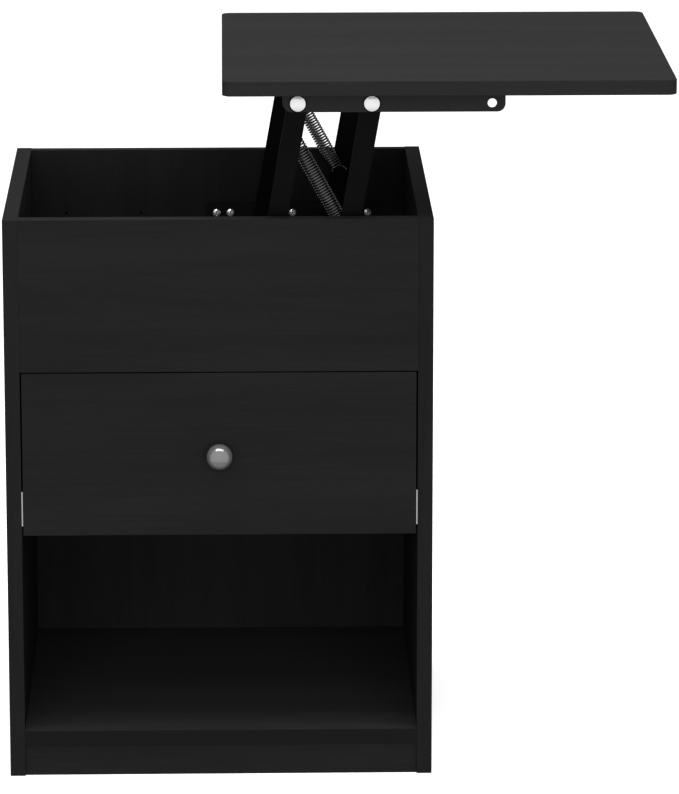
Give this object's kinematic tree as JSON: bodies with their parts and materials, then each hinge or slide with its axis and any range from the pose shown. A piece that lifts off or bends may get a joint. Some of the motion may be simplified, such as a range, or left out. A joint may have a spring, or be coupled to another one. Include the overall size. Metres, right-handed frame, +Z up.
{
  "type": "lift-top side table",
  "caption": "Small black side table with a lift-up top on sprung parallel arms, a hidden compartment, a drawer on ball rails and an open shelf.",
  "frame": {"origin": "middle of the front plinth's foot, on the floor, half way between the two sides", "axes": "+X to the right seen from the front, +Y from the front to the back, +Z up"},
  "size_m": [0.6544, 0.432, 0.7025],
  "materials": {
    "board": "black wood-grain melamine on board, matt",
    "thin_board": "black hardboard",
    "black_steel": "black powder coat, satin",
    "bright_rivet": "bright nickel plate",
    "spring_steel": "oiled spring wire, bright on the crowns",
    "zinc_screw": "bright zinc plate",
    "cast_cam": "cast zinc",
    "dowel_wood": "bare beech",
    "satin_nickel": "satin nickel",
    "zinc_rail": "bright zinc plate",
    "bearing_steel": "polished bearing steel"
  },
  "bodies": {
    "cabinet": {"left_side_panel": "board", "right_side_panel": "board", "upper_front_panel": "board", "back_panel": "board", "compartment_floor": "board", "bottom_shelf": "board", "front_plinth": "board", "carcass_cams": "cast_cam", "carcass_cam_studs": "zinc_screw", "carcass_dowels": "dowel_wood", "back_panel_screws": "zinc_screw", "front_base_bracket": "black_steel", "rear_base_bracket": "black_steel", "base_bracket_screws": "zinc_screw", "base_pivot_rivets": "bright_rivet", "base_pivot_spacers": "black_steel", "base_pivot_washers": "bright_rivet", "left_outer_rail": "zinc_rail", "right_outer_rail": "zinc_rail", "cabinet_rail_screws": "zinc_screw"},
    "left_arms": {"front_left_arm": "black_steel", "rear_left_arm": "black_steel", "front_left_spring_post": "black_steel", "rear_left_spring_post": "black_steel"},
    "right_arms": {"front_right_arm": "black_steel", "rear_right_arm": "black_steel", "front_right_spring_post": "black_steel", "rear_right_spring_post": "black_steel"},
    "lift_top": {"top_panel": "board", "front_top_bracket": "black_steel", "rear_top_bracket": "black_steel", "top_bracket_screws": "zinc_screw", "top_pivot_rivets": "bright_rivet", "top_pivot_washers": "bright_rivet", "top_pivot_collars": "black_steel"},
    "front_spring": {"front_spring": "spring_steel"},
    "front_spring_end": {"front_spring_lower_loop": "spring_steel"},
    "rear_spring": {"rear_spring": "spring_steel"},
    "rear_spring_end": {"rear_spring_lower_loop": "spring_steel"},
    "drawer": {"drawer_front": "board", "drawer_left_side": "board", "drawer_right_side": "board", "drawer_back": "board", "drawer_bottom": "thin_board", "drawer_knob": "satin_nickel", "drawer_knob_screw": "zinc_screw", "drawer_cams": "cast_cam", "drawer_cam_studs": "zinc_screw", "drawer_back_screws": "zinc_screw", "left_inner_rail": "zinc_rail", "right_inner_rail": "zinc_rail", "drawer_rail_screws": "zinc_screw"},
    "middle_rails": {"left_middle_rail": "zinc_rail", "right_middle_rail": "zinc_rail"},
    "outer_ball_cages": {"left_outer_ball_cage": "bearing_steel", "right_outer_ball_cage": "bearing_steel"},
    "inner_ball_cages": {"left_inner_ball_cage": "bearing_steel", "right_inner_ball_cage": "bearing_steel"}
  },
  "joints": [
    {"name": "lift", "type": "hinge", "parent": "cabinet", "child": "left_arms", "pos_m": [0.0424, 0.18, 0.47311], "axis": [0, -1, 0], "range_deg": [0, 77.06]},
    {"name": "right_arm_swing", "type": "hinge", "parent": "cabinet", "child": "right_arms", "pos_m": [0.1144, 0.18, 0.47311], "axis": [0, -1, 0], "range_deg": [-0.01, 77.08]},
    {"name": "top_level", "type": "hinge", "parent": "left_arms", "child": "lift_top", "pos_m": [0.078, 0.18, 0.675], "axis": [0, -1, 0], "range_deg": [-77.08, 0.01]},
    {"name": "front_spring_swivel", "type": "hinge", "parent": "left_arms", "child": "front_spring", "pos_m": [0.07223, 0.025, 0.6423], "axis": [0, -1, 0], "range_deg": [-29.21, 0.01], "deforming": ["front_spring"]},
    {"name": "front_spring_stretch", "type": "slide", "parent": "front_spring", "child": "front_spring_end", "axis": [0.4798, 0, -0.8774], "range_m": [-0.0001, 0.05637], "deforming": ["front_spring_lower_loop"]},
    {"name": "rear_spring_swivel", "type": "hinge", "parent": "left_arms", "child": "rear_spring", "pos_m": [0.07223, 0.335, 0.6423], "axis": [0, -1, 0], "range_deg": [-29.21, 0.01], "deforming": ["rear_spring"]},
    {"name": "rear_spring_stretch", "type": "slide", "parent": "rear_spring", "child": "rear_spring_end", "axis": [0.4798, 0, -0.8774], "range_m": [-0.0001, 0.05637], "deforming": ["rear_spring_lower_loop"]},
    {"name": "drawer_slide", "type": "slide", "parent": "cabinet", "child": "drawer", "axis": [0, -1, 0], "range_m": [0, 0.28]},
    {"name": "middle_rails_slide", "type": "slide", "parent": "cabinet", "child": "middle_rails", "axis": [0, -1, 0], "range_m": [-0.0001, 0.1401]},
    {"name": "outer_ball_cages_slide", "type": "slide", "parent": "cabinet", "child": "outer_ball_cages", "axis": [0, -1, 0], "range_m": [-0.0001, 0.0701]},
    {"name": "inner_ball_cages_slide", "type": "slide", "parent": "cabinet", "child": "inner_ball_cages", "axis": [0, -1, 0], "range_m": [-0.0001, 0.2101]}
  ],
  "couplings": [
    {"joint": "right_arm_swing", "follows": "lift", "ratio": 1},
    {"joint": "top_level", "follows": "lift", "ratio": -1},
    {"joint": "front_spring_swivel", "follows": "lift", "ratio": -0.37834},
    {"joint": "front_spring_stretch", "follows": "lift", "m_per_rad": 0.041832},
    {"joint": "rear_spring_swivel", "follows": "lift", "ratio": -0.37834},
    {"joint": "rear_spring_stretch", "follows": "lift", "m_per_rad": 0.041832},
    {"joint": "middle_rails_slide", "follows": "drawer_slide", "ratio": 0.5},
    {"joint": "outer_ball_cages_slide", "follows": "drawer_slide", "ratio": 0.25},
    {"joint": "inner_ball_cages_slide", "follows": "drawer_slide", "ratio": 0.75}
  ]
}
